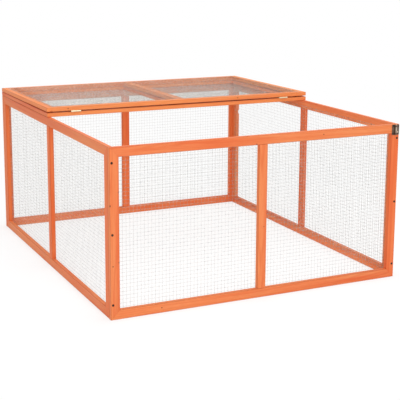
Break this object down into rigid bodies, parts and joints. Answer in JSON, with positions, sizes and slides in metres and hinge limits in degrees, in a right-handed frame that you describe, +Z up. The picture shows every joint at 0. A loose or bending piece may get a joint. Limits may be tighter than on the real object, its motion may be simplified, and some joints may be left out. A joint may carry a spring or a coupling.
{
  "type": "outdoor rabbit run",
  "caption": "Floorless timber and wire-mesh run for rabbits, with a roof in two halves; the front half folds back on hinges and bolts shut.",
  "frame": {"origin": "on the ground, in the middle of the whole object's box with the front roof folded back", "axes": "+X to the right seen from the front, +Y to the back, +Z up"},
  "size_m": [1.1, 1.2971, 0.6023],
  "materials": {
    "stained_timber": "planed fir with a satin orange-brown stain",
    "wire_mesh": "galvanised welded wire",
    "zinc_fittings": "zinc-plated pressed steel",
    "screws": "countersunk wood screws with a black oxide"
  },
  "bodies": {
    "run": {"front_bottom_rail": "stained_timber", "front_top_rail": "stained_timber", "front_left_stile": "stained_timber", "front_right_stile": "stained_timber", "front_centre_stile": "stained_timber", "front_mesh": "wire_mesh", "back_bottom_rail": "stained_timber", "back_top_rail": "stained_timber", "back_left_stile": "stained_timber", "back_right_stile": "stained_timber", "back_centre_stile": "stained_timber", "back_mesh": "wire_mesh", "left_bottom_rail": "stained_timber", "left_top_rail": "stained_timber", "left_front_stile": "stained_timber", "left_rear_stile": "stained_timber", "left_centre_stile": "stained_timber", "left_mesh": "wire_mesh", "right_bottom_rail": "stained_timber", "right_top_rail": "stained_timber", "right_front_stile": "stained_timber", "right_rear_stile": "stained_timber", "right_centre_stile": "stained_timber", "right_mesh": "wire_mesh", "rear_roof_hinge_rail": "stained_timber", "rear_roof_outer_rail": "stained_timber", "rear_roof_left_rail": "stained_timber", "rear_roof_right_rail": "stained_timber", "rear_roof_mullion": "stained_timber", "rear_roof_mesh": "wire_mesh", "left_hinge_fixed_leaf": "zinc_fittings", "left_hinge_pin": "zinc_fittings", "right_hinge_fixed_leaf": "zinc_fittings", "right_hinge_pin": "zinc_fittings", "bolt_plate": "zinc_fittings", "front_left_screw_1": "screws", "front_left_screw_2": "screws", "front_left_screw_3": "screws", "front_right_screw_1": "screws", "front_right_screw_2": "screws", "front_right_screw_3": "screws", "back_left_screw_1": "screws", "back_left_screw_2": "screws", "back_left_screw_3": "screws", "back_right_screw_1": "screws", "back_right_screw_2": "screws", "back_right_screw_3": "screws"},
    "front_roof": {"front_roof_hinge_rail": "stained_timber", "front_roof_outer_rail": "stained_timber", "front_roof_left_rail": "stained_timber", "front_roof_right_rail": "stained_timber", "front_roof_mullion": "stained_timber", "front_roof_mesh": "wire_mesh", "left_hinge_moving_leaf": "zinc_fittings", "right_hinge_moving_leaf": "zinc_fittings", "bolt_keeper": "zinc_fittings"},
    "bolt": {"bolt": "zinc_fittings"}
  },
  "joints": [
    {"name": "front_roof_fold", "type": "hinge", "parent": "run", "child": "front_roof", "pos_m": [0, 0.0028, 0.5834], "axis": [1, 0, 0], "range_deg": [0, 180.35]},
    {"name": "bolt_slide", "type": "slide", "parent": "run", "child": "bolt", "axis": [0, 0, 1], "range_m": [0, 0.014]}
  ]
}
